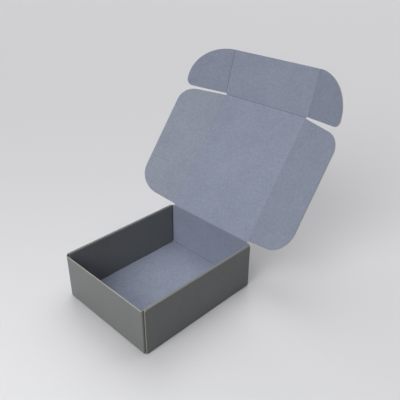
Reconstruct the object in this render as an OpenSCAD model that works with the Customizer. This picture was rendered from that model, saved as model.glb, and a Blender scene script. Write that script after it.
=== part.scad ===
// Roll-end mailer box folded from one sheet of fine corrugated board, standing with its lid open.
// Front is -Y, the lid's hinge line is along X at the back, and the tray stands on Z = 0.
// The flutes run along X in the flat sheet, so they stand upright in the folded side walls.

/* [Tray] */
// Outside width of the tray, along the hinge line
tray_width = 152; // [110:1:300]
// Outside depth of the tray, front to back
tray_depth = 182; // [120:1:320]
// Height of the tray at its rolled rims
tray_height = 65; // [40:1:120]
// How far the cut edge of the front panel stays below the rims
front_drop = 0.6; // [0.2:0.1:3]
// Outer radius of the upright folds between an end panel and its dust flaps
corner_radius = 2.2; // [1.9:0.1:4]
// How far the cut ends of the outer side panels stay back from the end panels' faces
side_setback = 2.2; // [0.5:0.1:4]
// Free space between the end of a rolled rim and an end panel's upright fold
rim_gap = 1.1; // [0.1:0.1:3]
// Length of each dust flap that is trapped inside a side wall
dust_flap = 52; // [20:1:55]
// Length of each locking tab on the foot of an inner side panel
tab_length = 26; // [10:1:40]
// Distance from the middle of the tray to the middle of each locking tab
tab_offset = 45; // [22:1:50]

/* [Board] */
// Thickness of the corrugated board
board = 1.3; // [1:0.1:1.8]
// Distance from one flute to the next
flute_pitch = 3.5; // [3:0.1:5]
// Thickness of each liner and of the fluted paper between them
paper = 0.2; // [0.15:0.01:0.25]
// Free space between two layers of a folded wall
ply_gap = 0.1; // [0.05:0.01:0.3]
// Depth of the waves that the flutes press into the rolled rims
rim_wave = 0.35; // [0.1:0.05:0.4]

/* [Creases] */
// Free space beside the rounded root of a hinged panel
crease_gap = 0.15; // [0.1:0.05:0.4]
// Width of crushed, closed board along a hinged panel's root
crush_width = 3; // [2:0.5:6]
// Clearance round the flaps where they fold into the closed tray
tuck_clearance = 0.2; // [0.1:0.05:1]
// Clearance under the folded wings and tuck flap when the lid is closed
floor_clearance = 1; // [0.5:0.1:4]
// Clearance between the closed lid and the rolled rims
lid_clearance = 0.1; // [0.05:0.05:0.5]
// Clearance round each locking tab in its slot
slot_clearance = 0.25; // [0.1:0.05:0.6]

/* [Lid wings] */
// Distance from the hinge line to the rear end of a wing's crease
wing_rear_start = 1.8; // [1.2:0.1:6]
// Distance from the tuck crease to the front end of a wing's crease
wing_front_start = 1.4; // [1:0.1:6]
// Slope of a wing's rear edge, in degrees
wing_rear_slope = 4; // [0:1:20]
// Slope of a wing's front edge, in degrees
wing_front_slope = 12.5; // [0:0.5:20]
// Radius of a wing's rear corner
wing_rear_radius = 33; // [8:1:34]
// Radius of a wing's front corner
wing_front_radius = 26; // [8:1:30]

/* [Tuck flap] */
// Distance from the tuck crease to an ear's slit edge
ear_start = 1.2; // [1:0.1:5]
// Width of an ear, from its crease to its tip
ear_width = 61; // [30:1:80]
// Radius of an ear's tip
ear_tip_radius = 9; // [3:0.5:14]

/* [Pose] */
// Opening angle of the lid, 0 when closed
lid_angle = 127; // [95:1:170]
// Inward fold of the left wing, 0 when flat
wing_left_fold = 31; // [0:1:60]
// Inward fold of the right wing, 0 when flat
wing_right_fold = 11; // [0:1:60]
// Inward fold of the tuck flap, 0 when flat
tuck_fold = 21; // [0:1:40]
// Inward fold of the left ear, 0 when flat
ear_left_fold = 30; // [0:1:60]
// Inward fold of the right ear, 0 when flat
ear_right_fold = 21; // [0:1:60]

/* [Hidden] */

// Colours of the printed outside and of the inside face
outside_grey = [0.25, 0.27, 0.27];
inside_blue = [0.45, 0.48, 0.55];
// Steps in a quarter turn of a fold, of a flap's corner and of an ear's sweep
fold_steps = 4;
corner_steps = 10;
ear_steps = 18;
// Points along one wave of a rolled rim
wave_steps = 4;

half_w = tray_width / 2;
half_d = tray_depth / 2;
root_r = board / 2;
// How far a panel's square end stays back from the axis of its crease
root_gap = root_r + crease_gap;
// A side wall is an outer panel, a dust flap and an inner panel
wall = 3 * board + 2 * ply_gap;
// Outer face of the dust flaps, and of the front and back panels' folded ends
flap_x = half_w - board - ply_gap;
// Outer panel of a side wall, and its rolled part, from the tray's middle to their ends
outer_half = half_d - side_setback;
roll_half = half_d - corner_radius - rim_gap;
// Outer radius of the folds along the four sides of the floor, and the flat floor inside them
fold_radius = 1.5 * board;
floor_x = half_w - fold_radius;
floor_y = half_d - fold_radius;
// The inner side panel stands just above the floor, and the dust flaps clear the folds as well
layer_foot = board + ply_gap;
flap_foot = fold_radius + ply_gap;
layer_top = tray_height - board - ply_gap;

// Axis of the lid's hinge crease
hinge_y = half_d - root_r;
hinge_z = tray_height + root_r + lid_clearance;
// The ears fold next to the inner side panels, and the wings fold inside the ears
ear_x = half_w - wall - tuck_clearance - root_r;
wing_x = ear_x - board - crease_gap;
// The tuck flap hangs just behind the front panel when the lid is closed
lid_length = hinge_y + half_d - board - tuck_clearance - root_r;
flap_reach = hinge_z - board - floor_clearance;

// Points on an arc about [x, y], from angle a to angle b
function arc(x, y, r, a, b, steps) =
    [for (i = [0:steps]) [x + r * cos(a + (b - a) * i / steps), y + r * sin(a + (b - a) * i / steps)]];

// Points on a quarter ellipse about [0, y], from its side to its top
function quarter_ellipse(y, rx, ry, steps) =
    [for (i = [0:steps]) [rx * cos(90 * i / steps), y + ry * sin(90 * i / steps)]];

// Extrudes a profile drawn in X and Z along Y, from the front to the back
module along_depth(half_length) {
    rotate([90, 0, 0])
        linear_extrude(height = 2 * half_length, center = true)
            children();
}

// Extrudes a profile drawn in Y and Z along X
module along_width(half_length) {
    rotate([90, 0, 90])
        linear_extrude(height = 2 * half_length, center = true)
            children();
}

// Inner and outer corner of the fold at the foot of a wall whose outside is at the given distance
function foot_outside(distance) =
    arc(distance - fold_radius, fold_radius, fold_radius, -90, 0, fold_steps);
function foot_inside(distance) =
    arc(distance - fold_radius, fold_radius, fold_radius - board, 0, -90, fold_steps);

// Section of the right side wall: floor fold, outer panel, rolled rim and inner panel
module rolled_wall_section() {
    inner = half_w - wall;
    polygon(concat(
        [[floor_x - ply_gap, 0]],
        foot_outside(half_w),
        arc(half_w - board, tray_height - board, board, 0, 90, fold_steps),
        arc(inner + board, tray_height - board, board, 90, 180, fold_steps),
        [[inner, layer_foot], [inner + board, layer_foot], [inner + board, tray_height - board]],
        [[half_w - board, tray_height - board]],
        foot_inside(half_w),
        [[floor_x - ply_gap, board]]
    ));
}

// Side view of a rolled rim: the flutes press even waves into the fold
module rim_wave_profile() {
    steps = wave_steps * ceil(2 * roll_half / flute_pitch);
    span = 2 * roll_half / steps;
    polygon(concat(
        [[-roll_half, -board], [roll_half, -board]],
        [for (i = [steps:-1:0]) [
            i * span - roll_half,
            tray_height - rim_wave * (1 - cos(360 * i / wave_steps)) / 2
        ]]
    ));
}

// One side wall, drawn on the right
module side_wall() {
    inner = half_w - wall;
    // The outer panel runs on past the roll to its two cut ends
    along_depth(outer_half)
        polygon(concat(
            [[floor_x - ply_gap, 0]],
            foot_outside(half_w),
            [[half_w, tray_height - board], [half_w - board, tray_height - board]],
            foot_inside(half_w),
            [[floor_x - ply_gap, board]]
        ));
    intersection() {
        along_depth(roll_half)
            rolled_wall_section();
        along_width(half_w)
            rim_wave_profile();
    }
    for (side = [-1, 1])
        translate([inner, side * tab_offset - tab_length / 2, slot_clearance])
            cube([board, tab_length, layer_foot]);
}

// The floor, with a slot for each locking tab
module floor_panel() {
    length = tab_length + 2 * slot_clearance;
    difference() {
        translate([-floor_x, -floor_y, 0])
            cube([2 * floor_x, 2 * floor_y, board]);
        for (x = [-1, 1], y = [-1, 1])
            translate([x * (half_w - wall + board / 2), y * tab_offset, board / 2])
                cube([board + 2 * slot_clearance, length, 2 * board], center = true);
    }
}

// An end panel of single board, drawn at the front: floor fold, upright panel and two dust flaps
module end_panel(top) {
    fold_x = flap_x - corner_radius;
    fold_y = corner_radius - half_d;
    inner_r = corner_radius - board;
    mirror([0, 1, 0])
        along_width(fold_x)
            polygon(concat(
                [[floor_y - ply_gap, 0]],
                foot_outside(half_d),
                [[half_d, top], [half_d - board, top]],
                foot_inside(half_d),
                [[floor_y - ply_gap, board]]
            ));
    translate([0, 0, flap_foot])
        linear_extrude(height = layer_top - flap_foot)
            polygon(concat(
                [[flap_x, dust_flap - half_d]],
                arc(fold_x, fold_y, corner_radius, 0, -90, fold_steps),
                arc(-fold_x, fold_y, corner_radius, 270, 180, fold_steps),
                [[-flap_x, dust_flap - half_d], [board - flap_x, dust_flap - half_d]],
                arc(-fold_x, fold_y, inner_r, 180, 270, fold_steps),
                arc(fold_x, fold_y, inner_r, -90, 0, fold_steps),
                [[flap_x - board, dust_flap - half_d]]
            ));
}

// The tray, folded from the sheet's lower part and locked by its tabs
module tray() {
    color(outside_grey) {
        floor_panel();
        side_wall();
        mirror([1, 0, 0])
            side_wall();
        end_panel(tray_height - front_drop);
        mirror([0, 1, 0])
            end_panel(hinge_z - root_gap);
    }
}

// Places a piece that is drawn closed, with the hinge crease as its X axis
module on_lid() {
    translate([0, hinge_y, hinge_z])
        rotate([-lid_angle, 0, 0])
            children();
}

// Places a piece that is drawn flat with the lid, with the tuck crease as its X axis
module on_tuck() {
    on_lid()
        translate([0, -lid_length, 0])
            rotate([tuck_fold, 0, 0])
                children();
}

// A panel that reaches from a crease along X towards -Y, with a rounded root on the crease
module hinged_panel(half_width, length) {
    along_width(half_width) {
        circle(r = root_r, $fn = 24);
        translate([-length, -root_r])
            square([length, board]);
    }
}

// The lid panel ends square beside the roots of the wings and of the tuck flap
module lid_panel() {
    color(inside_blue)
        on_lid()
            hinged_panel(wing_x - root_gap, lid_length - root_gap);
}

// Opening between the fluted paper and one liner, drawn at the liner above it
module flute_opening() {
    top = root_r - paper;
    foot = 2 * paper - root_r;
    wide = 0.3 * flute_pitch;
    narrow = 0.1 * flute_pitch;
    polygon([[-wide, top], [wide, top], [narrow, foot], [-narrow, foot]]);
}

// A sheet of board from a crease along Y, [0, -length] by [0, width], with its flutes along X
module fluted_sheet(width, length) {
    count = floor(length / flute_pitch);
    difference() {
        translate([0, -length, -root_r])
            cube([width, length, board]);
        for (i = [0:count])
            translate([crush_width, -(i + 0.5) * flute_pitch, 0]) {
                rotate([90, 0, 90])
                    linear_extrude(height = width)
                        flute_opening();
                translate([0, flute_pitch / 2, 0])
                    mirror([0, 0, 1])
                        rotate([90, 0, 90])
                            linear_extrude(height = width)
                                flute_opening();
            }
    }
}

// A flap on a crease along Y: fluted board cut to the outline that is its child
module fluted_flap(width, length, root_from, root_to) {
    intersection() {
        fluted_sheet(width, length);
        translate([0, 0, -board])
            linear_extrude(height = 2 * board)
                children();
    }
    translate([0, -root_from, 0])
        rotate([90, 0, 0])
            cylinder(r = root_r, h = root_to - root_from, $fn = 24);
}

// Outline of a lid wing, drawn on the right with the crease on the Y axis
module wing_outline() {
    root_end = lid_length - wing_front_start;
    // Angles that the two slanted edges make with the straight outer edge
    rear_y = -wing_rear_start - flap_reach * tan(wing_rear_slope);
    front_y = -root_end + flap_reach * tan(wing_front_slope);
    rear_x = flap_reach - wing_rear_radius;
    front_x = flap_reach - wing_front_radius;
    rear_arc_y = rear_y - wing_rear_radius * tan(45 - wing_rear_slope / 2);
    front_arc_y = front_y + wing_front_radius * tan(45 - wing_front_slope / 2);
    polygon(concat(
        [[0, -root_end]],
        arc(front_x, front_arc_y, wing_front_radius, wing_front_slope - 90, 0, corner_steps),
        arc(rear_x, rear_arc_y, wing_rear_radius, 0, 90 - wing_rear_slope, corner_steps),
        [[0, -wing_rear_start]]
    ));
}

// A lid wing, drawn on the right
module wing(fold) {
    translate([wing_x, 0, 0])
        rotate([0, fold, 0])
            fluted_flap(flap_reach, lid_length, wing_rear_start, lid_length - wing_front_start)
                wing_outline();
}

module wing_left() {
    color(inside_blue)
        on_lid()
            mirror([1, 0, 0])
                wing(wing_left_fold);
}

module wing_right() {
    color(inside_blue)
        on_lid()
            wing(wing_right_fold);
}

// The tuck flap carries an ear on each side
module tuck_flap() {
    color(inside_blue)
        on_tuck() {
            hinged_panel(wing_x - root_gap, flap_reach);
            translate([root_gap - ear_x, -flap_reach, -root_r])
                cube([2 * (ear_x - root_gap), flap_reach - root_gap, board]);
        }
}

// Outline of an ear, drawn on the right: slit edge, small tip and a long sweep to the far edge
module ear_outline() {
    tip_y = ear_start + ear_tip_radius;
    mirror([0, 1])
        polygon(concat(
            [[0, ear_start]],
            arc(ear_width - ear_tip_radius, tip_y, ear_tip_radius, -90, 0, corner_steps),
            quarter_ellipse(tip_y, ear_width, flap_reach - tip_y, ear_steps)
        ));
}

// An ear of the tuck flap, drawn on the right
module ear(fold) {
    translate([ear_x, 0, 0])
        rotate([0, fold, 0])
            fluted_flap(ear_width, flap_reach, ear_start, flap_reach)
                ear_outline();
}

module ear_left() {
    color(inside_blue)
        on_tuck()
            mirror([1, 0, 0])
                ear(ear_left_fold);
}

module ear_right() {
    color(inside_blue)
        on_tuck()
            ear(ear_right_fold);
}

tray();
lid_panel();
wing_left();
wing_right();
tuck_flap();
ear_left();
ear_right();
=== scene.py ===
from math import cos, pi, radians, sin, tan

import bpy
import numpy as np
from mathutils import Matrix, Vector


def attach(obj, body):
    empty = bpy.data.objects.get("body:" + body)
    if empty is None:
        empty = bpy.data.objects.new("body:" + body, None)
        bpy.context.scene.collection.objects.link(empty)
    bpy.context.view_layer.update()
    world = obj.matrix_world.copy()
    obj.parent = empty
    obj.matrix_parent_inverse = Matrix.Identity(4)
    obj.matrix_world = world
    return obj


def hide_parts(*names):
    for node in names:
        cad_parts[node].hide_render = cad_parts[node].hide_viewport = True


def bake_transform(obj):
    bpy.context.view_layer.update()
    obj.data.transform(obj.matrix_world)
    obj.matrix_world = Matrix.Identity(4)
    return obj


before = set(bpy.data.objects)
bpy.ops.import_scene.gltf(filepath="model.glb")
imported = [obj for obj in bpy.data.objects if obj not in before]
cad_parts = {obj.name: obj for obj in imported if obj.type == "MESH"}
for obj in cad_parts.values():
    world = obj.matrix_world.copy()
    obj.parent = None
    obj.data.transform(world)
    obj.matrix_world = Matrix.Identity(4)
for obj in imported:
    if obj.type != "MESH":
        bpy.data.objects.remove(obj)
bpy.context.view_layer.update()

# Floor panel. The bottom of one die-cut sheet of fine corrugated board: a fluted brown paper
# glued between two flat liners, printed dark grey outside and blue-grey inside. Slots near its
# sides take the locking tabs of the rolled walls.
BOARD = 0.0013
PAPER = 0.0002
FLUTE_PITCH = 0.0035
FLUTE_STEPS = 8
RIB_DEPTH = 0.00042
PLY_GAP = 0.0001
TRAY_HALF_WIDTH = 0.076
TRAY_HALF_DEPTH = 0.091
WALL = 3 * BOARD + 2 * PLY_GAP
FOLD_RADIUS = 1.5 * BOARD
SLOT_CLEARANCE = 0.00025
TAB_LENGTH = 0.026
TAB_OFFSET = 0.045

# The papers' look: how coarse their clouds, mottle and fibres are and how strongly each shows,
# and how dark the painted shade is in the grooves between the ribs and in the gaps behind the folds.
CLOUD_SCALE = 32
MOTTLE_SCALE = 330
FIBRE_SCALE = 1500
CLOUD_TONE = 0.55
MOTTLE_TONE = 1.2
FIBRE_TONE = 0.5
FLUTE_TONE = 0.012
MOTTLE_TOOTH = 1.5
MOTTLE_SHINE = 0.08
GROOVE_REST = 0.9
GROOVE_SHADE = 0.3
PAINTED_SHADE_TONE = (0.06, 0.062, 0.063, 1)

# The board's mesh: which points become one, which rows are too close, and which edges stay sharp.
WELD_DISTANCE = 0.000002
NEAR_ROW = 0.00008
ROW_DIGITS = 7
SHARP_FOLD = radians(40)


class Strand:
    """A value that runs from one node to the next, in a paper's material or in the board's shape."""

    def __init__(self, tree, node=None, output=0):
        self.tree = tree
        self.node = node
        self.socket = node.outputs[output] if node else None

    def add(self, kind, settings=None, inputs=None, output=0):
        """Adds a node: its settings first, then the values or links of its sockets."""
        node = self.tree.nodes.new(kind)
        for name, value in (settings or {}).items():
            setattr(node, name, value)
        for name, value in (inputs or {}).items():
            for single in value if isinstance(value, list) else [value]:
                if isinstance(single, Strand):
                    self.tree.links.new(single.socket, node.inputs[name])
                else:
                    node.inputs[name].default_value = single
        return Strand(self.tree, node, output)

    def other(self, output):
        return Strand(self.tree, self.node, output)

    def sine(self):
        return self.add("ShaderNodeMath", {"operation": "SINE"}, {0: self})

    def combine(self, operation, first, second):
        return self.add("ShaderNodeMath", {"operation": operation}, {0: first, 1: second})

    def colour_between(self, first, second):
        """The first colour where this value is 0, and the second where it is 1."""
        return self.add("ShaderNodeMix", {"data_type": "RGBA"}, {0: self, 6: first, 7: second}, output=2)

    def __add__(self, value):
        return self.combine("ADD", self, value)

    def __sub__(self, value):
        return self.combine("SUBTRACT", self, value)

    def __rsub__(self, value):
        return self.combine("SUBTRACT", value, self)

    def __mul__(self, value):
        return self.combine("MULTIPLY", self, value)

    def __truediv__(self, value):
        return self.combine("DIVIDE", self, value)

    def __rtruediv__(self, value):
        return self.combine("DIVIDE", value, self)

    __radd__ = __add__
    __rmul__ = __mul__


def paper_finish(name, dark, light, creased, roughness, gloss, tooth, washboard):
    """A matte paper: cloudy tone, fibres, a crease tone, painted shade in grooves and gaps, and faint
    flutes.
    """
    material = bpy.data.materials.new(name)
    material.use_nodes = True
    tree = material.node_tree
    tree.nodes.clear()
    start = Strand(tree)
    place = start.add("ShaderNodeTexCoord", output="Object")

    def noise(scale, detail):
        sockets = {"Vector": place, "Scale": scale, "Detail": detail}
        return start.add("ShaderNodeTexNoise", {}, sockets)

    def mark(kind):
        return start.add("ShaderNodeAttribute", {"attribute_name": kind}, output="Fac")

    cloud = noise(CLOUD_SCALE, detail=3)
    mottle = noise(MOTTLE_SCALE, detail=4)
    fibre = noise(FIBRE_SCALE, detail=3)
    flute = (mark("across") * (2 * pi / FLUTE_PITCH)).sine()
    groove = mark("rim") * (1 - flute) * 0.5
    middle_tone = 0.5 - (CLOUD_TONE + MOTTLE_TONE + FIBRE_TONE) / 2
    tone = cloud * CLOUD_TONE + mottle * MOTTLE_TONE + fibre * FIBRE_TONE + middle_tone
    tone = tone + flute * FLUTE_TONE
    # The crease tone: lighter print where folds wore it, with a painted highlight at the tray's front
    # corners, and darker crushed liner with painted shade in the crease grooves.
    crease_toned = mark("crease") * (1 - groove * GROOVE_REST)
    # Painted shade: darker in the grooves between the ribs, and where a point's mark stands in for the
    # shadow in a gap or along a fold's foot.
    shaded = groove * GROOVE_SHADE + mark("hollow")
    colour = tone.colour_between(dark, light)
    colour = crease_toned.colour_between(colour, creased)
    colour = shaded.colour_between(colour, PAINTED_SHADE_TONE)
    height = fibre * tooth + mottle * (tooth * MOTTLE_TOOTH) + flute * washboard
    bump = start.add("ShaderNodeBump", {}, {"Strength": 1.0, "Distance": 1.0, "Height": height})
    shine = mottle * MOTTLE_SHINE + (roughness - MOTTLE_SHINE / 2)
    shader = start.add(
        "ShaderNodeBsdfPrincipled",
        {},
        {"Base Color": colour, "Roughness": shine, "Specular IOR Level": gloss, "Normal": bump},
    )
    out = tree.nodes.new("ShaderNodeOutputMaterial")
    tree.links.new(shader.socket, out.inputs["Surface"])
    return material


def liner_finish(name, dark, light, creased):
    """The unprinted side of the sheet: dull blue-grey paper with a soft tooth."""
    return paper_finish(
        name,
        dark,
        light,
        creased,
        roughness=0.85,
        gloss=0.35,
        tooth=0.00003,
        washboard=0.000008,
    )


# The liners' creased tone is darker: crushed paper, with painted shade in the crease grooves.
inside_liner = liner_finish(
    "blue_grey_liner",
    dark=(0.245, 0.276, 0.359, 1),
    light=(0.358, 0.392, 0.489, 1),
    creased=(0.201, 0.225, 0.301, 1),
)
# The print's creased tone is lighter: print that folds wore pale, and a painted highlight at the tray's
# front corners.
outside_print = paper_finish(
    "dark_grey_print",
    dark=(0.139, 0.145, 0.144, 1),
    light=(0.194, 0.200, 0.198, 1),
    creased=(0.228, 0.235, 0.232, 1),
    roughness=0.45,
    gloss=0.5,
    tooth=0.000012,
    washboard=0.000004,
)
bare_kraft = paper_finish(
    "bare_brown_paper",
    dark=(0.46, 0.43, 0.385, 1),
    light=(0.70, 0.66, 0.60, 1),
    creased=(0.55, 0.52, 0.465, 1),
    roughness=0.9,
    gloss=0.2,
    tooth=0.00006,
    washboard=0.0,
)


def corrugated_board_tree():
    """Makes board from its middle surface: two liners and, between them, the fluted paper."""
    tree = bpy.data.node_groups.new("corrugated board", "GeometryNodeTree")
    sockets = tree.interface
    sockets.new_socket("Middle surface", in_out="INPUT", socket_type="NodeSocketGeometry")
    for name in ("Board thickness", "Paper thickness", "Flute pitch", "Rib depth"):
        sockets.new_socket(name, in_out="INPUT", socket_type="NodeSocketFloat")
    for name in ("Outside print", "Inside liner", "Bare paper"):
        sockets.new_socket(name, in_out="INPUT", socket_type="NodeSocketMaterial")
    sockets.new_socket("Board", in_out="OUTPUT", socket_type="NodeSocketGeometry")
    given = Strand(tree).add("NodeGroupInput")
    middle = given.other("Middle surface")
    thickness, paper = given.other("Board thickness"), given.other("Paper thickness")
    normal = given.add("GeometryNodeInputNormal")
    across = given.add("GeometryNodeInputNamedAttribute", {"data_type": "FLOAT"}, {"Name": "across"})
    rim = given.add("GeometryNodeInputNamedAttribute", {"data_type": "FLOAT"}, {"Name": "rim"})
    wave = (across * (2 * pi) / given.other("Flute pitch")).sine()

    def ply(surface, distance):
        """A closed layer of paper that starts at a distance from the middle surface."""
        offset = given.add(
            "ShaderNodeVectorMath", {"operation": "SCALE"}, {0: normal, "Scale": distance}
        )
        foot = given.add("GeometryNodeSetPosition", {}, {"Geometry": surface, "Offset": offset})
        raised = given.add(
            "GeometryNodeExtrudeMesh", {}, {"Mesh": foot, "Offset Scale": paper, "Individual": False}
        )
        back = given.add("GeometryNodeFlipFaces", {}, {"Mesh": foot})
        joined = given.add("GeometryNodeJoinGeometry", {}, {"Geometry": [back, raised]})
        closed = given.add(
            "GeometryNodeMergeByDistance", {}, {"Geometry": joined, "Distance": WELD_DISTANCE}
        )
        return closed, raised.other("Top")

    ribs = rim * given.other("Rib depth") * (1 - wave) * 0.5
    outer, printed = ply(middle, thickness * 0.5 - paper - ribs)
    inner, lined = ply(
        given.add("GeometryNodeFlipFaces", {}, {"Mesh": middle}), thickness * 0.5 - paper
    )
    fluting, _ = ply(middle, wave * (thickness * 0.5 - paper * 1.5) - paper * 0.5)
    board = given.add("GeometryNodeJoinGeometry", {}, {"Geometry": [outer, inner, fluting]})
    board = given.add("GeometryNodeRealizeInstances", {}, {"Geometry": board})
    board = given.add(
        "GeometryNodeSetMaterial", {}, {"Geometry": board, "Material": given.other("Bare paper")}
    )
    for top, finish in ((printed, "Outside print"), (lined, "Inside liner")):
        board = given.add(
            "GeometryNodeSetMaterial",
            {},
            {"Geometry": board, "Selection": top, "Material": given.other(finish)},
        )
    out = tree.nodes.new("NodeGroupOutput")
    tree.links.new(board.socket, out.inputs["Board"])
    return tree


corrugated_board = corrugated_board_tree()


def flute_rows(start, end, *fixed):
    """Places across the flutes, close enough to follow each wave, and the fixed ones."""
    fixed = np.round([start, end, *fixed], ROW_DIGITS)
    rows = np.round(np.arange(start, end, FLUTE_PITCH / FLUTE_STEPS), ROW_DIGITS)
    rows = np.unique(np.concatenate([rows, fixed]))
    keep = [not 0 < np.abs(fixed - row).min() < NEAR_ROW for row in rows]
    return rows[keep]


def marked_sheet(name, middle, across, keep, marks, turned):
    """Mesh of a middle surface. Its points know their place across the flutes, and their marks."""
    middle = np.asarray(middle, float)
    rows, columns = middle.shape[:2]
    faces = []
    for j in range(rows - 1):
        for i in range(columns - 1):
            if keep is None or keep(j, i):
                a = j * columns + i
                face = (a, a + 1, a + columns + 1, a + columns)
                faces.append(face[::-1] if turned else face)
    used = sorted({v for face in faces for v in face})
    index = {v: k for k, v in enumerate(used)}
    points = middle.reshape(-1, 3)[used]
    mesh = bpy.data.meshes.new(name)
    mesh.from_pydata(points.tolist(), [], [[index[v] for v in face] for face in faces])
    spread = mesh.attributes.new("across", "FLOAT", "POINT")
    spread.data.foreach_set("value", np.repeat(across, columns)[used].astype(np.float32))
    marks = np.zeros((rows, columns, 3)) + (0 if marks is None else np.array(marks))
    for kind, values in zip(("rim", "crease", "hollow"), marks.reshape(-1, 3).T):
        mark = mesh.attributes.new(kind, "FLOAT", "POINT")
        mark.data.foreach_set("value", values[used].astype(np.float32))
    return mesh


def make_board(
    name, middle, across, keep=None, marks=None, turned=False, place=None, lining=inside_liner
):
    """Board round a middle surface, given as rows of points across the flutes.

    Keep says which of its cells have board, and turned puts the print on its other side. Marks
    are three values for each point of a row, or of each row: the depth of its ribs, its crease
    tone and how much painted shade it has, standing in for the shadow in a gap.
    """
    sheet = marked_sheet(name, middle, across, keep, marks, turned)
    flat = bpy.data.objects.new(name + "_middle", sheet)
    bpy.context.scene.collection.objects.link(flat)
    modifier = flat.modifiers.new("corrugated board", "NODES")
    modifier.node_group = corrugated_board
    values = {
        "Board thickness": BOARD,
        "Paper thickness": PAPER,
        "Flute pitch": FLUTE_PITCH,
        "Rib depth": RIB_DEPTH,
        "Outside print": outside_print,
        "Inside liner": lining,
        "Bare paper": bare_kraft,
    }
    for item in corrugated_board.interface.items_tree:
        if item.in_out == "INPUT" and item.name in values:
            modifier[item.identifier] = values[item.name]
    depsgraph = bpy.context.evaluated_depsgraph_get()
    made = bpy.data.meshes.new_from_object(
        flat.evaluated_get(depsgraph), preserve_all_data_layers=True, depsgraph=depsgraph
    )
    bpy.data.objects.remove(flat)
    if place is not None:
        made.transform(place)
    made.name = name
    made.shade_smooth()
    made.set_sharp_from_angle(angle=SHARP_FOLD)
    piece = bpy.data.objects.new(name, made)
    bpy.context.scene.collection.objects.link(piece)
    return piece


def tray_piece(piece):
    """Makes a panel part of the tray, which is one stretch of the sheet."""
    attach(piece, "tray")
    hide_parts("tray")


middle_z = BOARD / 2
floor_x = TRAY_HALF_WIDTH - FOLD_RADIUS
floor_y = TRAY_HALF_DEPTH - FOLD_RADIUS
slot_middle = TRAY_HALF_WIDTH - WALL + middle_z
slot_half_width = middle_z + SLOT_CLEARANCE
slot_half_length = TAB_LENGTH / 2 + SLOT_CLEARANCE
slot_columns = [slot_middle - slot_half_width, slot_middle + slot_half_width]
slot_rows = [TAB_OFFSET - slot_half_length, TAB_OFFSET + slot_half_length]
floor_columns = sorted([-floor_x, floor_x, *slot_columns, *[-x for x in slot_columns]])
floor_rows = flute_rows(-floor_y, floor_y, *slot_rows, *[-y for y in slot_rows])


def floor_has_board(j, i):
    """False in the four slots."""
    x = (floor_columns[i] + floor_columns[i + 1]) / 2
    y = (floor_rows[j] + floor_rows[j + 1]) / 2
    in_slot_x = slot_columns[0] < abs(x) < slot_columns[1]
    return not (in_slot_x and slot_rows[0] < abs(y) < slot_rows[1])


floor_board = make_board(
    "floor_panel",
    [[(x, y, middle_z) for x in floor_columns] for y in floor_rows],
    floor_rows,
    keep=floor_has_board,
    turned=True,
)
tray_piece(floor_board)

# Front and back panels. Each stands on a crease of the floor panel as a single thickness of
# board, and turns a dust flap round each corner into the side wall. The front panel ends in a
# bare cut edge, and the back panel runs on into the lid's hinge crease.
TRAY_HEIGHT = 0.065
CORNER_RADIUS = 0.0022
CORNER_WEAR_AND_HIGHLIGHT = 0.3
DUST_FLAP = 0.052
FRONT_DROP = 0.0028
LID_CLEARANCE = 0.0001
CREASE_GAP = 0.00015

# Painted shadow along the fold beside the floor: how dark it is at each of the fold's points.
FOOT_SHADE = (0.0, 0.25, 0.42, 0.45, 0.42, 0.25, 0.0)

root_gap = BOARD / 2 + CREASE_GAP
hinge_z = TRAY_HEIGHT + BOARD / 2 + LID_CLEARANCE
flap_x = TRAY_HALF_WIDTH - BOARD - PLY_GAP
flap_foot = FOLD_RADIUS + PLY_GAP
layer_top = TRAY_HEIGHT - BOARD - PLY_GAP


def fold(x, y, start, end, radius=middle_z, steps=6):
    """Middle line of board folded about x, y, from one angle to another, in degrees."""
    angles = np.radians(np.linspace(start, end, steps + 1))
    return [(x + radius * cos(a), y + radius * sin(a)) for a in angles]


def end_panel(name, top, turn):
    """An end of the tray, drawn at the front, with its two dust flaps."""
    flap_end = (-(flap_x - middle_z), DUST_FLAP - TRAY_HALF_DEPTH)
    corner_x = CORNER_RADIUS - flap_x
    corner_y = CORNER_RADIUS - TRAY_HALF_DEPTH
    corner = fold(corner_x, corner_y, 180, 270, CORNER_RADIUS - middle_z)
    path = [flap_end, *corner]
    path = [*path, *[(-x, y) for x, y in reversed(path)]]
    shares = np.linspace(0, 1, len(corner))
    # Round each corner the print is lighter towards the front face, wear with a painted highlight, and
    # darker towards the dust flap, painted shade for the shadow in the gap.
    corner_marks = [(0.0, CORNER_WEAR_AND_HIGHLIGHT * share**2, (1 - share) ** 0.5) for share in shares]
    half_marks = [(0.0, 0.0, 0.0), *corner_marks]
    path_marks = np.array([*half_marks, *reversed(half_marks)])
    front_y = middle_z - TRAY_HALF_DEPTH
    rises = flute_rows(flap_foot, max(top, layer_top), min(top, layer_top))
    rise_rows = fold(-floor_y, FOLD_RADIUS, 270, 180, BOARD) + [(front_y, z) for z in rises]
    steps = [np.hypot(b[0] - a[0], b[1] - a[1]) for a, b in zip(rise_rows, rise_rows[1:])]
    from_foot = np.cumsum([0, *steps])
    middle = [[(x, y + lean - front_y, z) for x, y in path] for lean, z in rise_rows]
    # Painted shadow along the fold at the foot, and none on the rows above it.
    foot_marks = [(0.0, 0.0, shade) for shade in FOOT_SHADE] + [(0.0, 0.0, 0.0)] * len(rises)
    marks = path_marks + np.array(foot_marks)[:, None]

    def has_board(j, i):
        z = (rise_rows[j][1] + rise_rows[j + 1][1]) / 2
        return z < top if i == len(corner) else flap_foot < z < layer_top

    panel = make_board(name, middle, from_foot, keep=has_board, marks=marks, place=turn)
    tray_piece(panel)


end_panel("front_panel", TRAY_HEIGHT - FRONT_DROP, Matrix.Identity(4))
end_panel("back_panel", hinge_z - root_gap, Matrix.Rotation(pi, 4, "Z"))

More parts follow.
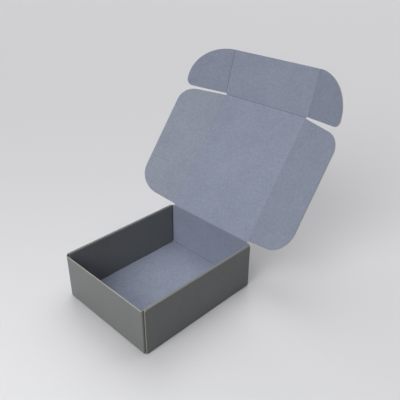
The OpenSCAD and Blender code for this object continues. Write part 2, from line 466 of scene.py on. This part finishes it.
# Side walls. Each rises from a crease of the floor panel, rolls over the dust flaps in two
# close creases and comes down inside, printed side showing, to lock with two tabs in the
# floor's slots. The upright flutes press small ribs into the roll, more on the left.
SIDE_SETBACK = 0.0022
RIM_GAP = 0.0011
RIB_REACH = 0.0036
RIB_SHADE = 0.25
layer_foot = BOARD + PLY_GAP
outer_half = TRAY_HALF_DEPTH - SIDE_SETBACK
roll_half = TRAY_HALF_DEPTH - CORNER_RADIUS - RIM_GAP
inner_face = TRAY_HALF_WIDTH - WALL


def side_wall(name, side, ribs, wear):
    """A rolled side wall, drawn on the right and mirrored for the left."""
    rim_z = TRAY_HEIGHT - BOARD
    plain = (0.0, 0.0, 0.0)
    # The ribbed roll carries painted shade in step with its ribs.
    ribbed = (ribs, wear, ribs * RIB_SHADE)
    crease_toned = (ribs, 1.0, 0.0)
    # The fold at the foot carries the same painted shadow.
    foot = fold(floor_x, FOLD_RADIUS, -90, 0, BOARD)
    line = [(*p, (0.0, 0.0, shade)) for p, shade in zip(foot, FOOT_SHADE)]
    line.append((TRAY_HALF_WIDTH - middle_z, rim_z - RIB_REACH / 3, plain))
    outer_end = len(line)
    line += [(*p, ribbed) for p in fold(TRAY_HALF_WIDTH - BOARD, rim_z, 0, 90)]
    line += [(*p, crease_toned) for p in fold(inner_face + BOARD, rim_z, 90, 180)]
    for share in (0.25, 0.5, 0.75, 1.0):
        fading = (ribs * (1 - share), (1 - share) ** 2, 0.0)
        line.append((inner_face + middle_z, rim_z - RIB_REACH * share, fading))
    line.append((inner_face + middle_z, layer_foot, plain))
    line.append((inner_face + middle_z, SLOT_CLEARANCE, plain))
    tab = [TAB_OFFSET - TAB_LENGTH / 2, TAB_OFFSET + TAB_LENGTH / 2]
    along = flute_rows(-outer_half, outer_half, -roll_half, roll_half, *tab, *[-y for y in tab])

    def has_board(j, i):
        y = abs(along[j] + along[j + 1]) / 2
        if i < outer_end:
            return True
        if i < len(line) - 2:
            return y < roll_half
        return tab[0] < y < tab[1]

    wall = make_board(
        name,
        [[(side * x, y, z) for x, z, _ in line] for y in along],
        along,
        keep=has_board,
        marks=[mark for _, _, mark in line],
        turned=side > 0,
    )
    tray_piece(wall)


side_wall("side_wall_left", side=-1, ribs=1.0, wear=0.0)
side_wall("side_wall_right", side=1, ribs=0.15, wear=1.0)

# Lid panel. The sheet's middle part, which leans back on the hinge crease with its blue-grey
# inside showing. Its sides and front edge are creases, where the board is crushed so that the
# wings and the tuck flap can turn.
LID_ANGLE = 127
TUCK_CLEARANCE = 0.0002
hinge_y = TRAY_HALF_DEPTH - BOARD / 2
ear_crease = TRAY_HALF_WIDTH - WALL - TUCK_CLEARANCE - BOARD / 2
wing_crease = ear_crease - BOARD - CREASE_GAP
lid_length = hinge_y + TRAY_HALF_DEPTH - BOARD - TUCK_CLEARANCE - BOARD / 2


def folded(crease, angle):
    """The frame of the panel beyond a crease, folded inwards by an angle in degrees."""
    return crease @ Matrix.Rotation(radians(angle), 4, "Y")


hinge_crease = Matrix(((0, 1, 0, 0), (0, 0, 1, hinge_y), (1, 0, 0, hinge_z), (0, 0, 0, 1)))
lid_place = folded(hinge_crease, 90 - LID_ANGLE)
lid_rows = flute_rows(root_gap, lid_length - root_gap)
lid_half = wing_crease - root_gap
lid_board = make_board(
    "lid_board",
    [[(s, y, 0) for y in (-lid_half, lid_half)] for s in lid_rows],
    lid_rows,
    turned=True,
    place=lid_place,
)
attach(lid_board, "lid")
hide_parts("lid_panel")

# Lid wings. Large flaps on the lid's side creases, with generous round corners and the open
# ends of the flutes in their outer edges. The left wing's liner is painted lighter and warmer
# than the lid's, as painted light, and the right one's a shade darker, as painted shade.
WING_REAR_START = 0.0018
WING_FRONT_START = 0.0014
WING_REAR_SLOPE = radians(4)
WING_FRONT_SLOPE = radians(12.5)
WING_REAR_RADIUS = 0.033
WING_FRONT_RADIUS = 0.026
WING_LEFT_FOLD = 31
WING_RIGHT_FOLD = 11
OUTLINE_STEPS = 4000
ROOT_MARGIN = 0.0001
FLOOR_CLEARANCE = 0.001
flap_reach = hinge_z - BOARD - FLOOR_CLEARANCE


def crease_frame(parent, along, across, side):
    """A crease's frame: X leads away over the folded panel, Y lies on the crease, Z is outside."""
    place = {
        "front": Matrix.Identity(3),
        "right": Matrix(((0, -1, 0), (1, 0, 0), (0, 0, 1))),
        "left": Matrix(((0, 1, 0), (-1, 0, 0), (0, 0, 1))),
    }[side].to_4x4()
    return parent @ Matrix.Translation((along, across, 0)) @ place


def arc(x, y, radius, start, end, steps=12):
    """A round corner about x, y, from one angle to another."""
    angles = np.linspace(start, end, steps + 1)
    return [(x + radius * cos(a), y + radius * sin(a)) for a in angles]


root_end = lid_length - WING_FRONT_START
rear_s = WING_REAR_START + flap_reach * tan(WING_REAR_SLOPE)
front_s = root_end - flap_reach * tan(WING_FRONT_SLOPE)
wing_outline = [
    (0, WING_REAR_START),
    *arc(
        flap_reach - WING_REAR_RADIUS,
        rear_s + WING_REAR_RADIUS * tan(pi / 4 - WING_REAR_SLOPE / 2),
        WING_REAR_RADIUS,
        WING_REAR_SLOPE - pi / 2,
        0,
    ),
    *arc(
        flap_reach - WING_FRONT_RADIUS,
        front_s - WING_FRONT_RADIUS * tan(pi / 4 - WING_FRONT_SLOPE / 2),
        WING_FRONT_RADIUS,
        0,
        pi / 2 - WING_FRONT_SLOPE,
    ),
    (0, root_end),
]


def flap_board(name, outline, side, place, body, node, lining=inside_liner):
    """A flap beside a crease, cut to its outline: pairs of distances from and along the crease."""
    away, along = np.array(outline).T
    fine = np.linspace(along[0], along[-1], OUTLINE_STEPS + 1)
    reach = np.interp(fine, along, away)
    fine = fine[reach > root_gap + ROOT_MARGIN]
    rows = flute_rows(fine[0], fine[-1], *[s for s in along if fine[0] < s < fine[-1]])
    reach = np.interp(rows, along, away)
    direction = {"right": -1, "left": 1}[side]
    middle = [[(x, direction * s, 0) for x in (root_gap, far)] for s, far in zip(rows, reach)]
    flap = make_board(name, middle, rows, turned=side == "right", place=place, lining=lining)
    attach(flap, body)
    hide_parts(node)


# Lit and shaded copies of the liner: painted light for the left wing, painted shade for the right wing
# and the right ear.
painted_light_liner = liner_finish(
    "painted_light_blue_grey_liner",
    dark=(0.276, 0.302, 0.375, 1),
    light=(0.404, 0.430, 0.510, 1),
    creased=(0.225, 0.246, 0.312, 1),
)
painted_shade_liner = liner_finish(
    "painted_shade_blue_grey_liner",
    dark=(0.222, 0.251, 0.326, 1),
    light=(0.325, 0.356, 0.444, 1),
    creased=(0.185, 0.207, 0.277, 1),
)
wing_left_crease = crease_frame(lid_place, 0, -wing_crease, "left")
wing_right_crease = crease_frame(lid_place, 0, wing_crease, "right")
wing_left_place = folded(wing_left_crease, WING_LEFT_FOLD)
wing_right_place = folded(wing_right_crease, WING_RIGHT_FOLD)
flap_board(
    "wing_board_left",
    wing_outline,
    "left",
    wing_left_place,
    "wing_left",
    "wing_left",
    lining=painted_light_liner,
)
flap_board(
    "wing_board_right",
    wing_outline,
    "right",
    wing_right_place,
    "wing_right",
    "wing_right",
    lining=painted_shade_liner,
)

# Tuck flap. It folds from the lid's front crease and slides behind the front panel when the
# box is shut. Its far edge is cut along the flutes.
TUCK_FOLD = 21
tuck_crease = crease_frame(lid_place, lid_length, 0, "front")
tuck_place = folded(tuck_crease, TUCK_FOLD)
tuck_rows = flute_rows(root_gap, flap_reach)
tuck_half = ear_crease - root_gap
tuck_board = make_board(
    "tuck_board",
    [[(s, y, 0) for y in (-tuck_half, tuck_half)] for s in tuck_rows],
    tuck_rows,
    turned=True,
    place=tuck_place,
)
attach(tuck_board, "tuck")
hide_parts("tuck_flap")

# Ears. Small flaps on the tuck flap's side creases that tuck in between the wings and the
# walls. Each has a straight slit edge, a small round tip and one long sweep.
EAR_START = 0.0012
EAR_WIDTH = 0.061
EAR_TIP_RADIUS = 0.009
EAR_LEFT_FOLD = 30
EAR_RIGHT_FOLD = 21
EAR_SWEEP_START = 4
EAR_SWEEP_STEPS = 23
tip_s = EAR_START + EAR_TIP_RADIUS
sweep = np.radians(np.linspace(EAR_SWEEP_START, 90, EAR_SWEEP_STEPS + 1))
ear_outline = [
    *arc(EAR_WIDTH - EAR_TIP_RADIUS, tip_s, EAR_TIP_RADIUS, -pi / 2, 0),
    *[(EAR_WIDTH * cos(a), tip_s + (flap_reach - tip_s) * sin(a)) for a in sweep],
]
ear_left_crease = crease_frame(tuck_place, 0, -ear_crease, "left")
ear_right_crease = crease_frame(tuck_place, 0, ear_crease, "right")
ear_left_place = folded(ear_left_crease, EAR_LEFT_FOLD)
ear_right_place = folded(ear_right_crease, EAR_RIGHT_FOLD)
flap_board("ear_board_left", ear_outline, "left", ear_left_place, "ear_left", "ear_left")
# The right ear's liner is darker by painted shade, like the right wing's.
flap_board(
    "ear_board_right",
    ear_outline,
    "right",
    ear_right_place,
    "ear_right",
    "ear_right",
    lining=painted_shade_liner,
)

# Creases. Narrow lines where the board was crushed before folding, so it bends there without
# tearing the liners. Inside each is a groove, deeper where the crease was pressed harder and
# darker with it, as crushed paper and as painted shade, and outside a small round shoulder.
FAINT_CREASE = 0.00002
SOFT_CREASE = 0.00012
SHARP_CREASE = 0.0003
SHOULDER_SHARE = 0.3
CREASE_STEPS = 12
SHARP_CREASE_EDGE = radians(50)


def crease(name, place, angle, depth, start, end, parent, child, slot):
    """The crushed board between two panels, from start to end along the crease's Y axis."""
    spread = np.linspace(-1, 1, CREASE_STEPS + 1)
    weight = (spread + 1) / 2
    weight = weight * weight * (3 - 2 * weight)
    valley = depth * (1 + np.cos(pi * spread)) / 2
    over = list(zip(spread * root_gap, middle_z - SHOULDER_SHARE * valley, weight))
    under = list(zip(spread * root_gap, valley - middle_z, weight))
    ring = [*over, *reversed(under)]
    # The groove's inside takes the liner's darker crease tone, crushed paper with painted shade,
    # strongest where the groove is deepest.
    wear = np.concatenate([np.zeros(len(over)), valley[::-1] / SHARP_CREASE])
    count = len(ring)
    points = []
    for y in (start, end):
        for s, z, w in ring:
            turn = radians(angle) * w
            points.append((s * cos(turn) + z * sin(turn), y, z * cos(turn) - s * sin(turn)))
    faces = [(k, (k + 1) % count, count + (k + 1) % count, count + k) for k in range(count)]
    faces += [tuple(range(count)), tuple(reversed(range(count, 2 * count)))]
    mesh = bpy.data.meshes.new(name)
    mesh.from_pydata(points, [], faces)
    for material in (outside_print, inside_liner, bare_kraft):
        mesh.materials.append(material)
    for k, face in enumerate(mesh.polygons):
        outside, inside = k < CREASE_STEPS, CREASE_STEPS < k < count - 1
        face.material_index = 0 if outside else 1 if inside else 2
    crushed_and_shaded = mesh.attributes.new("crease", "FLOAT", "POINT")
    crushed_and_shaded.data.foreach_set("value", np.tile(wear, 2).astype(np.float32))
    mesh.transform(place)
    mesh.shade_smooth()
    mesh.set_sharp_from_angle(angle=SHARP_CREASE_EDGE)
    piece = bpy.data.objects.new(name, mesh)
    bpy.context.scene.collection.objects.link(piece)
    first = place @ Vector((-root_gap, 0, 0))
    last = place @ Vector((root_gap * cos(radians(angle)), 0, -root_gap * sin(radians(angle))))
    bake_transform(piece)


crease(
    "hinge_crease",
    hinge_crease,
    90 - LID_ANGLE,
    SOFT_CREASE,
    start=-lid_half,
    end=lid_half,
    parent="tray",
    child="lid",
    slot="lid_board",
)
crease(
    "wing_crease_left",
    wing_left_crease,
    WING_LEFT_FOLD,
    FAINT_CREASE,
    start=WING_REAR_START,
    end=root_end,
    parent="lid",
    child="wing_left",
    slot="lid_board",
)
crease(
    "wing_crease_right",
    wing_right_crease,
    WING_RIGHT_FOLD,
    SOFT_CREASE,
    start=-root_end,
    end=-WING_REAR_START,
    parent="lid",
    child="wing_right",
    slot="lid_board",
)
crease(
    "tuck_crease",
    tuck_crease,
    TUCK_FOLD,
    SHARP_CREASE,
    start=-lid_half,
    end=lid_half,
    parent="lid",
    child="tuck",
    slot="lid_board",
)
crease(
    "ear_crease_left",
    ear_left_crease,
    EAR_LEFT_FOLD,
    SHARP_CREASE,
    start=EAR_START,
    end=flap_reach,
    parent="tuck",
    child="ear_left",
    slot="lid_board",
)
crease(
    "ear_crease_right",
    ear_right_crease,
    EAR_RIGHT_FOLD,
    SOFT_CREASE,
    start=-flap_reach,
    end=-EAR_START,
    parent="tuck",
    child="ear_right",
    slot="lid_board",
)

# Studio. A pale seamless floor with a soft sheen, under a light tent: a broad light in front,
# another high behind on the left, a softbox close to the front and a faint fill from the room.
FLOOR_SEEN = (0.72, 0.72, 0.74, 1)
FLOOR_BOUNCE = (0.4, 0.4, 0.41, 1)
FLOOR_ROUGHNESS = 0.32
FLOOR_GLOSS = 0.6
FLOOR_REACH = 12.0
FLOOR_DROP = 0.0001
floor_mesh = bpy.data.meshes.new("studio_floor")
floor_corners = [(-1, -1), (1, -1), (1, 1), (-1, 1)]
floor_points = [(x * FLOOR_REACH, y * FLOOR_REACH, 0) for x, y in floor_corners]
floor_mesh.from_pydata(floor_points, [], [(0, 1, 2, 3)])
studio_floor = bpy.data.objects.new("studio_floor", floor_mesh)
studio_floor.location.z = -FLOOR_DROP
bpy.context.scene.collection.objects.link(studio_floor)
floor_paint = bpy.data.materials.new("studio_floor_paint")
floor_paint.use_nodes = True
floor_shader = floor_paint.node_tree.nodes["Principled BSDF"]
floor_shader.inputs["Roughness"].default_value = FLOOR_ROUGHNESS
floor_shader.inputs["Specular IOR Level"].default_value = FLOOR_GLOSS
floor_mesh.materials.append(floor_paint)


def looked_at(tree):
    """1 where the eye sees a surface, also in a gloss or through glass, and 0 for its bounce."""
    ray = Strand(tree).add("ShaderNodeLightPath", output="Is Camera Ray")
    seen = ray.combine("MAXIMUM", ray, ray.other("Is Glossy Ray"))
    return ray.combine("MAXIMUM", seen, ray.other("Is Transmission Ray"))


floor_colour = looked_at(floor_paint.node_tree).colour_between(FLOOR_BOUNCE, FLOOR_SEEN)
floor_paint.node_tree.links.new(floor_colour.socket, floor_shader.inputs["Base Color"])

# The room is seen as pale as the floor, and lights the box only faintly.
ROOM_SEEN = 0.7
ROOM_FILL = 0.02
world = bpy.data.worlds.new("studio_room")
bpy.context.scene.world = world
world.use_nodes = True
strength = looked_at(world.node_tree) * (ROOM_SEEN - ROOM_FILL) + ROOM_FILL
room = world.node_tree.nodes["Background"]
room.inputs["Color"].default_value = (1, 1, 1, 1)
world.node_tree.links.new(strength.socket, room.inputs["Strength"])


def hang_lamp(lamp, azimuth, elevation, distance):
    """Turns a lamp to the box. Azimuth 0 is in front of it and 90 on its right, in degrees."""
    turn, rise = radians(azimuth), radians(elevation)
    toward = Vector((sin(turn) * cos(rise), -cos(turn) * cos(rise), sin(rise)))
    stand = bpy.data.objects.new(lamp.name, lamp)
    stand.location = toward * distance
    stand.rotation_mode = "QUATERNION"
    stand.rotation_quaternion = toward.to_track_quat("Z", "Y")
    stand.visible_camera = False
    stand.visible_glossy = False
    bpy.context.scene.collection.objects.link(stand)


def tent_light(name, azimuth, elevation, spread, strength):
    """One side of the tent: a broad light so far away that its rays are parallel."""
    lamp = bpy.data.lights.new(name, "SUN")
    lamp.angle = spread
    lamp.energy = strength * pi
    hang_lamp(lamp, azimuth, elevation, distance=1.0)


def softbox(name, azimuth, elevation, distance, size, power):
    """A round light close to the box, which falls off over it."""
    lamp = bpy.data.lights.new(name, "AREA")
    lamp.shape = "DISK"
    lamp.size = size
    lamp.energy = power
    hang_lamp(lamp, azimuth, elevation, distance)


softbox("front_softbox", azimuth=8, elevation=35, distance=0.86, size=0.5, power=2.22)
tent_light("front_key", azimuth=12, elevation=40, spread=0.7, strength=0.37)
tent_light("back_high", azimuth=210, elevation=60, spread=1.3, strength=0.618)

# Camera. It looks down on the open box from the front right, as in the photograph. Its focal
# length is given in pixels of a picture that is 400 pixels wide.
FOCAL_PIXELS = 510.8
FRAME_PIXELS = 400
SENSOR_WIDTH = 36
AZIMUTH = radians(44.34)
ELEVATION = radians(29.28)
ROLL = radians(0.48)
DISTANCE = 0.8979
target = Vector((-0.13505, 0.21096, 0))
backward = Vector(
    (sin(AZIMUTH) * cos(ELEVATION), -cos(AZIMUTH) * cos(ELEVATION), sin(ELEVATION))
)
level = (-backward).cross(Vector((0, 0, 1))).normalized()
upright = level.cross(-backward)
right = level * cos(ROLL) + upright * sin(ROLL)
up = upright * cos(ROLL) - level * sin(ROLL)
camera_data = bpy.data.cameras.new("camera")
camera_data.sensor_width = SENSOR_WIDTH
camera_data.lens = FOCAL_PIXELS / FRAME_PIXELS * SENSOR_WIDTH
camera_data.clip_start = 0.01
camera_data.clip_end = 60
camera = bpy.data.objects.new("camera", camera_data)
camera.matrix_world = Matrix.Translation(target + backward * DISTANCE) @ Matrix(
    (right, up, backward)
).transposed().to_4x4()
bpy.context.scene.collection.objects.link(camera)
bpy.context.scene.camera = camera
bpy.context.scene.view_settings.view_transform = "Standard"
